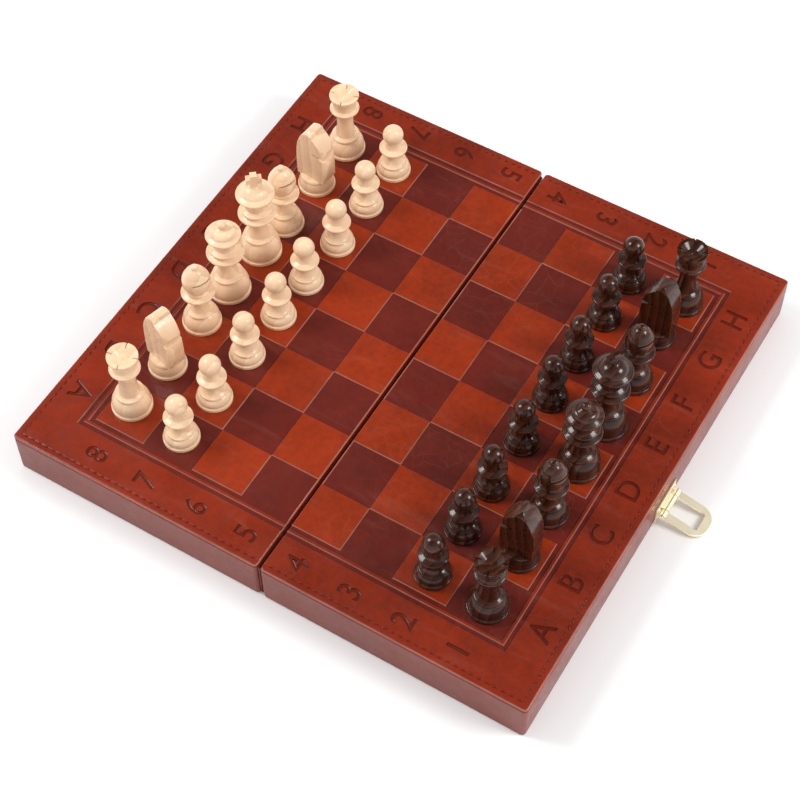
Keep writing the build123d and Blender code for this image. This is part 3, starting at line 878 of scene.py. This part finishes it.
def spine():
    """The leather strip in the hinge gap, folded down between the halves."""
    low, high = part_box("leather_spine")
    outer = high.x
    inner = outer - SPINE_LEATHER * MM
    steps = 10
    outside = [(-outer, high.z), (-outer, high.z * 0.5), (-outer, outer)]
    outside += [(-outer * math.cos(math.pi * i / steps), outer - outer * math.sin(math.pi * i / steps))
                for i in range(1, steps)]
    outside += [(outer, outer), (outer, high.z * 0.5), (outer, high.z)]
    inside = [(-inner, high.z), (-inner, high.z * 0.5), (-inner, outer)]
    inside += [(-inner * math.cos(math.pi * i / steps), outer - inner * math.sin(math.pi * i / steps))
               for i in range(1, steps)]
    inside += [(inner, outer), (inner, high.z * 0.5), (inner, high.z)]
    section = outside + inside[::-1]
    count = len(section)
    rows = SPINE_ROWS
    points = []
    for row in range(rows + 1):
        y = low.y + (high.y - low.y) * row / rows
        points += [(x * SPINE_SLACK, y, z) for x, z in section]
    faces = []
    for row in range(rows):
        for k in range(count):
            m = (k + 1) % count
            a, b = row * count, (row + 1) * count
            faces.append((a + k, a + m, b + m, b + k))
    half_count = count // 2
    for row, flip in ((0, False), (rows, True)):
        for k in range(half_count - 1):
            a = row * count
            quad = (a + k, a + k + 1, a + count - 2 - k, a + count - 1 - k)
            faces.append(quad if flip else quad[::-1])
    obj = new_piece("folded_spine", points, faces)
    obj.data.shade_smooth()
    obj.data.set_sharp_from_angle(angle=math.radians(50))
    return obj


# Operators

class CHESS_OT_playing_leather(bpy.types.Operator):
    """Make the pressed leather and coordinates of both halves"""

    bl_idname = "chess.playing_leather"
    bl_label = "Playing leather"

    def execute(self, context):
        sizes = context.scene.chess_board_sizes
        colours = context.scene.chess_colours
        # Each square leather's third colour is its paler edge colour, used for scuffing and for the painted
        # highlight on the edges that face +X and -Y.
        dark = leather_material("dark_square_leather", colours.dark_square,
                                scaled(colours.dark_square, 0.6), (0.60, 0.32, 0.25), 0.9, True)
        light = leather_material("light_square_leather", colours.light_square,
                                 scaled(colours.light_square, 0.55), (0.68, 0.36, 0.26), 0.85, True)
        # The coordinates get the border leather darkened to half: a painted shade in the pressed letters.
        label = leather_material("label_painted_shade_leather", scaled(colours.border, 0.5),
                                 scaled(colours.border, 0.25), (0.30, 0.055, 0.030), 0.5)
        for half in HALVES:
            sheet = leather_surface(half, sizes)
            set_material(sheet, border_leather(colours), dark, light, label)
            cutter = label_cutter(half, sizes)
            set_material(cutter, border_leather(colours), dark, light, label)
            cutter.data.polygons.foreach_set("material_index", [LABEL] * len(cutter.data.polygons))
            press_labels(sheet, cutter)
            smooth(sheet, 40)
            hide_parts(f"{half}_top_leather")
            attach(sheet, f"{half}_case")
        return {"FINISHED"}


class CHESS_OT_stitching(bpy.types.Operator):
    """Sew the seam round three sides of each half"""

    bl_idname = "chess.stitching"
    bl_label = "Stitching"

    def execute(self, context):
        colours = context.scene.chess_colours
        thread = leather_material("sewing_thread", scaled(colours.border, 0.6),
                                  scaled(colours.border, 0.5), (0.55, 0.16, 0.08), 0.4)
        for half in HALVES:
            seam = stitching(half, context.scene.chess_board_sizes)
            set_material(seam, thread)
            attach(seam, f"{half}_case")
        return {"FINISHED"}


class CHESS_OT_case_sides(bpy.types.Operator):
    """Wrap the sides of both halves in leather"""

    bl_idname = "chess.case_sides"
    bl_label = "Case sides"

    def execute(self, context):
        scene = context.scene
        for half in HALVES:
            side = case_side(half, scene.chess_board_sizes)
            set_material(side, case_leather(scene.chess_colours))
            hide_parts(f"{half}_side_leather")
            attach(side, f"{half}_case")
        return {"FINISHED"}


class CHESS_OT_spine(bpy.types.Operator):
    """Join the halves with the folded leather spine"""

    bl_idname = "chess.spine"
    bl_label = "Spine"

    def execute(self, context):
        strip = spine()
        set_material(strip, case_leather(context.scene.chess_colours))
        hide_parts("leather_spine")
        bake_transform(strip)
        return {"FINISHED"}


class CHESS_OT_case_inside(bpy.types.Operator):
    """Finish the wooden walls, the panels and the felt of both trays"""

    bl_idname = "chess.case_inside"
    bl_label = "Case inside"

    def execute(self, context):
        colours = context.scene.chess_colours
        wood = wood_material("tray_wood", colours.tray_wood, (0.28, 0.16, 0.08), (0.2, 0.1, 0.05),
                             0.6, 30, 0.4, 0.0)
        felt = felt_material(colours.felt)
        for half in HALVES:
            for name in ("hinge_wall", "end_wall", "front_wall", "back_wall", "panel"):
                set_material(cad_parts[f"{half}_{name}"], wood)
            set_material(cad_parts[f"{half}_lining"], felt)
        return {"FINISHED"}


class CHESS_OT_turned_men(bpy.types.Operator):
    """Finish the turned men in light and dark lacquered wood"""

    bl_idname = "chess.turned_men"
    bl_label = "Turned men"

    def execute(self, context):
        colours = context.scene.chess_colours
        light, dark = men_woods(colours)
        for name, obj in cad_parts.items():
            if name.startswith("light_"):
                set_material(obj, light)
            elif name.startswith("dark_"):
                set_material(obj, dark)
        return {"FINISHED"}


def men_woods(colours):
    """The light and the dark wood of the men."""
    light = wood_material("turned_light_wood", colours.light_wood, (0.66, 0.40, 0.22), (0.60, 0.34, 0.18),
                          0.5, 42, 0.35, 0.3)
    dark = wood_material("turned_dark_wood", colours.dark_wood, colours.dark_figure, (0.010, 0.003, 0.002),
                         0.55, 70, 0.6, 0.45)
    return light, dark


class CHESS_OT_knights(bpy.types.Operator):
    """Carve the four knights"""

    bl_idname = "chess.knights"
    bl_label = "Knights"

    def execute(self, context):
        light, dark = men_woods(context.scene.chess_colours)
        width = context.scene.chess_men_sizes.knight_edge
        for name in ("light_knight_b8", "light_knight_g8", "dark_knight_b1", "dark_knight_g1"):
            horse = softened(name.replace("knight", "horse"), name, width)
            set_material(horse, light if name.startswith("light") else dark)
            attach(horse, name)
        return {"FINISHED"}


class CHESS_OT_latch(bpy.types.Operator):
    """Finish the brass latch, its pin, nails and catch"""

    bl_idname = "chess.latch"
    bl_label = "Brass latch"

    def execute(self, context):
        brass = brass_material(context.scene.chess_colours.brass)
        width = context.scene.chess_latch_sizes.brass_edge
        rides = {"latch_loop": "latch_loop", "latch_plate": "right_case", "latch_pin": "right_case",
                 "catch_plate": "left_case"}
        for cad_node, body in rides.items():
            piece = softened(f"brass_{cad_node}", cad_node, width)
            set_material(piece, brass)
            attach(piece, body)
        for cad_node in ("latch_nails", "catch_nails"):
            set_material(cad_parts[cad_node], brass)
        return {"FINISHED"}


class CHESS_OT_stage(bpy.types.Operator):
    """Set the pale floor, the soft lamps and the camera"""

    bl_idname = "chess.stage"
    bl_label = "Stage"

    def execute(self, context):
        stage = context.scene.chess_stage
        context.scene.view_settings.view_transform = "Standard"
        make_floor(stage)
        make_lamps(stage)
        make_camera(stage)
        return {"FINISHED"}


def make_floor(stage):
    """A pale floor."""
    reach = stage.floor_reach
    corners = [(-reach, -reach, 0), (reach, -reach, 0), (reach, reach, 0), (-reach, reach, 0)]
    floor = new_piece("pale_floor", corners, [(0, 1, 2, 3)])
    made, tree, skin = new_material("pale_floor")
    skin.inputs["Base Color"].default_value = (0.93, 0.93, 0.93, 1)
    skin.inputs["Roughness"].default_value = 0.7
    skin.inputs["Specular IOR Level"].default_value = 0.1
    set_material(floor, made)
    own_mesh(floor)


def make_lamps(stage):
    """A pale room, darker overhead where glossy things mirror it, and a soft lamp on each side."""
    world = bpy.data.worlds.new("pale_room")
    bpy.context.scene.world = world
    world.use_nodes = True
    tree = world.node_tree
    tree.nodes.clear()
    output = node(tree, "ShaderNodeOutputWorld", (400, 0))
    seen = node(tree, "ShaderNodeBackground", (0, 100))
    seen.inputs["Color"].default_value = (1, 1, 1, 1)
    seen.inputs["Strength"].default_value = 1.0
    light = node(tree, "ShaderNodeBackground", (0, -100))
    light.inputs["Color"].default_value = ROOM_COLOUR
    light.inputs["Strength"].default_value = ROOM_STRENGTH
    mirrored = node(tree, "ShaderNodeBackground", (0, -300))
    mirrored.inputs["Color"].default_value = ROOM_COLOUR
    place = node(tree, "ShaderNodeTexCoord", (-700, -300))
    split = node(tree, "ShaderNodeSeparateXYZ", (-500, -300))
    tree.links.new(place.outputs["Generated"], split.inputs["Vector"])
    low_sky = remap(tree, split.outputs["Z"], 0.25, 0.72, 0.95, 0.09)
    right_sky = remap(tree, split.outputs["X"], 0.02, 0.25, 0.0, 0.35)
    tree.links.new(maths(tree, "MAXIMUM", low_sky, right_sky), mirrored.inputs["Strength"])
    path = node(tree, "ShaderNodeLightPath", (-400, 0))
    by_ray = node(tree, "ShaderNodeMixShader", (100, -200))
    tree.links.new(path.outputs["Is Glossy Ray"], by_ray.inputs[0])
    tree.links.new(light.outputs[0], by_ray.inputs[1])
    tree.links.new(mirrored.outputs[0], by_ray.inputs[2])
    choose = node(tree, "ShaderNodeMixShader", (200, 0))
    shown = maths(tree, "MAXIMUM", path.outputs["Is Camera Ray"], path.outputs["Is Transmission Ray"])
    tree.links.new(shown, choose.inputs[0])
    tree.links.new(by_ray.outputs[0], choose.inputs[1])
    tree.links.new(seen.outputs[0], choose.inputs[2])
    tree.links.new(choose.outputs[0], output.inputs["Surface"])
    for name, place in LAMP_PLACES.items():
        add_lamp(name, place, LAMP_SIZE, stage.lamp_power, LAMP_COLOUR)


def add_lamp(name, place, size, power, colour):
    lamp = bpy.data.lights.new(name, "AREA")
    lamp.shape = "SQUARE"
    lamp.size = size
    lamp.energy = power
    lamp.color = colour
    obj = bpy.data.objects.new(name, lamp)
    bpy.context.scene.collection.objects.link(obj)
    obj.location = place
    obj.rotation_euler = (Vector((0, 0, 0)) - Vector(place)).to_track_quat("-Z", "Y").to_euler()


def make_camera(stage):
    camera = bpy.data.cameras.new("camera")
    camera.lens = stage.lens
    camera.sensor_width = 36.0
    obj = bpy.data.objects.new("camera", camera)
    bpy.context.scene.collection.objects.link(obj)
    obj.location = CAMERA_PLACE
    obj.rotation_euler = Euler([math.radians(a) for a in CAMERA_TURN])
    bpy.context.scene.camera = obj


class CHESS_PT_panel(bpy.types.Panel):
    """The pieces of the chess set and their sizes"""

    bl_label = "Chess set"
    bl_idname = "CHESS_PT_panel"
    bl_space_type = "VIEW_3D"
    bl_region_type = "UI"
    bl_category = "Chess set"

    def draw(self, context):
        scene = context.scene
        for group in (scene.chess_board_sizes, scene.chess_men_sizes, scene.chess_latch_sizes,
                      scene.chess_colours, scene.chess_stage):
            box = self.layout.box()
            for name in group.__annotations__:
                box.prop(group, name)
        for operator in OPERATORS:
            self.layout.operator(operator.bl_idname)


GROUPS = {
    "chess_board_sizes": BoardSizes,
    "chess_men_sizes": MenSizes,
    "chess_latch_sizes": LatchSizes,
    "chess_colours": SetColours,
    "chess_stage": StageSettings,
}
OPERATORS = (
    CHESS_OT_case_inside, CHESS_OT_case_sides, CHESS_OT_playing_leather, CHESS_OT_stitching, CHESS_OT_spine,
    CHESS_OT_turned_men, CHESS_OT_knights, CHESS_OT_latch, CHESS_OT_stage,
)


def register():
    for made in (*GROUPS.values(), *OPERATORS, CHESS_PT_panel):
        bpy.utils.register_class(made)
    for name, group in GROUPS.items():
        setattr(bpy.types.Scene, name, PointerProperty(type=group))


def unregister():
    for name in GROUPS:
        delattr(bpy.types.Scene, name)
    for made in (CHESS_PT_panel, *reversed(OPERATORS), *reversed(GROUPS.values())):
        bpy.utils.unregister_class(made)


def main():
    register()
    for operator in OPERATORS:
        family, name = operator.bl_idname.split(".")
        getattr(getattr(bpy.ops, family), name)()


if __name__ == "__main__":
    main()
